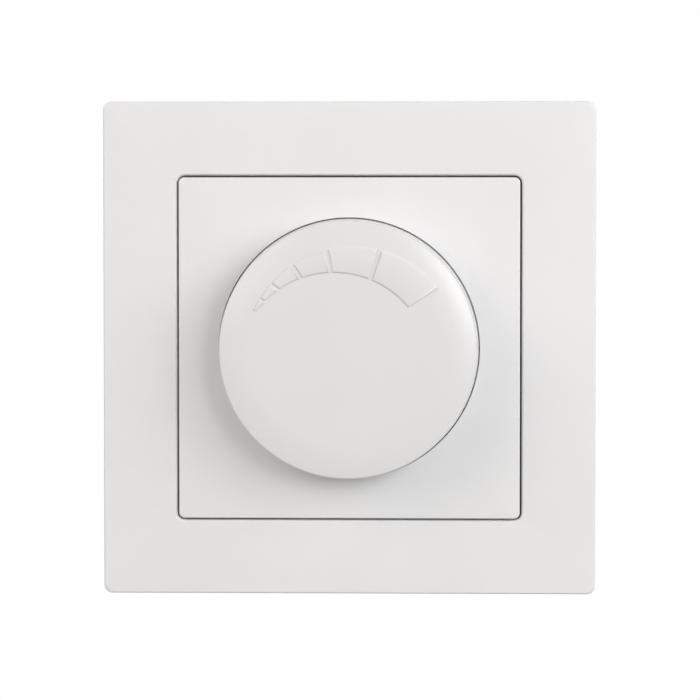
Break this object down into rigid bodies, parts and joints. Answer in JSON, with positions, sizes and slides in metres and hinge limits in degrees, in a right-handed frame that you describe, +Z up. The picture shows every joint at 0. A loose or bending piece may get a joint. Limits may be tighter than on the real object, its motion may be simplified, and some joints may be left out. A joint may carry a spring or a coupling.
{
  "type": "rotary dimmer switch",
  "caption": "Flush wall dimmer switch: square cover frame, flush centre plate and a round turn-and-push knob with a raised tapering scale, on a support plate with claws and a housing.",
  "frame": {"origin": "centre of the plate on the wall's surface, midway between the two box screw holes", "axes": "the front faces -Y, +Y goes into the wall, +Z is up, +X is to the right seen from the front"},
  "size_m": [0.084, 0.0427, 0.084],
  "materials": {
    "white_moulding": "smooth half-gloss moulding",
    "spring_steel": "rolled spring strip",
    "nickelled_brass": "turned and nickel plated",
    "zinc_steel": "pressed steel, bright zinc plated",
    "yellow_zinc": "steel, yellow passivated zinc",
    "grey_nylon": "moulded nylon",
    "grey_housing": "moulded, fine matt texture",
    "board_laminate": "paper laminate board",
    "dark_phenolic": "pressed phenolic",
    "contact_bronze": "spring bronze",
    "black_resin": "moulded resin with a tinned tab",
    "insulating_sheet": "filled silicone sheet",
    "ferrite": "sintered ferrite",
    "enamelled_copper": "enamelled copper wire",
    "yellow_film": "moulded capacitor box",
    "fuse_glass": "glass tube with plated caps",
    "resistor_coat": "lacquered",
    "blue_diode": "glazed glass bead",
    "red_film": "dipped resin",
    "terminal_brass": "drawn brass, machined"
  },
  "bodies": {
    "root": {"cover_frame": "white_moulding", "centre_plate": "white_moulding", "bush": "nickelled_brass", "bush_nut": "zinc_steel", "retaining_nut": "zinc_steel", "support_plate": "zinc_steel", "housing": "grey_housing", "housing_screws": "zinc_steel", "circuit_board": "board_laminate", "pot_case": "dark_phenolic", "pot_track": "dark_phenolic", "switch_case": "dark_phenolic", "contact_leaf": "contact_bronze", "fixed_contact": "contact_bronze", "triac": "black_resin", "triac_pad": "insulating_sheet", "triac_screw": "zinc_steel", "choke_core": "ferrite", "choke_winding": "enamelled_copper", "film_capacitor": "yellow_film", "fuse": "fuse_glass", "fuse_clips": "contact_bronze", "timing_resistor": "resistor_coat", "limit_resistor": "resistor_coat", "diac": "blue_diode", "timing_capacitor": "red_film", "terminal_cages": "terminal_brass", "terminal_screws": "yellow_zinc"},
    "rotor": {"pot_rotor": "grey_nylon", "pot_wiper": "contact_bronze"},
    "knob": {"knob": "white_moulding", "knob_spring": "spring_steel", "spindle": "nickelled_brass", "spindle_clip": "spring_steel"},
    "slider": {"switch_slider": "grey_nylon"},
    "right_claw": {"right_claw": "zinc_steel"},
    "left_claw": {"left_claw": "zinc_steel"},
    "right_claw_screw": {"right_claw_screw": "yellow_zinc"},
    "left_claw_screw": {"left_claw_screw": "yellow_zinc"}
  },
  "joints": [
    {"name": "knob_turn", "type": "hinge", "parent": "root", "child": "rotor", "pos_m": [0, 0, 0], "axis": [0, 1, 0], "range_deg": [-135, 135]},
    {"name": "knob_push", "type": "slide", "parent": "rotor", "child": "knob", "axis": [0, 1, 0], "range_m": [0, 0.0015], "stiffness_N_per_m": 800, "springref_m": -0.0025},
    {"name": "slider_push", "type": "slide", "parent": "root", "child": "slider", "axis": [0, 1, 0], "range_m": [0, 0.0015], "deforming": ["contact_leaf"]},
    {"name": "right_claw_swing", "type": "hinge", "parent": "root", "child": "right_claw", "pos_m": [0.0222, 0.0012, 0], "axis": [0, 0, -1], "range_deg": [0, 18]},
    {"name": "right_claw_screw_turn", "type": "hinge", "parent": "root", "child": "right_claw_screw", "pos_m": [0.0255, 0, 0], "axis": [0, 1, 0], "range_deg": [0, 802]},
    {"name": "left_claw_swing", "type": "hinge", "parent": "root", "child": "left_claw", "pos_m": [-0.0222, 0.0012, 0], "axis": [0, 0, 1], "range_deg": [0, 18]},
    {"name": "left_claw_screw_turn", "type": "hinge", "parent": "root", "child": "left_claw_screw", "pos_m": [-0.0255, 0, 0], "axis": [0, 1, 0], "range_deg": [0, 802]}
  ],
  "couplings": [
    {"joint": "slider_push", "follows": "knob_push", "ratio": 1},
    {"joint": "right_claw_screw_turn", "follows": "right_claw_swing", "ratio": 44.51},
    {"joint": "left_claw_screw_turn", "follows": "left_claw_swing", "ratio": 44.51}
  ]
}
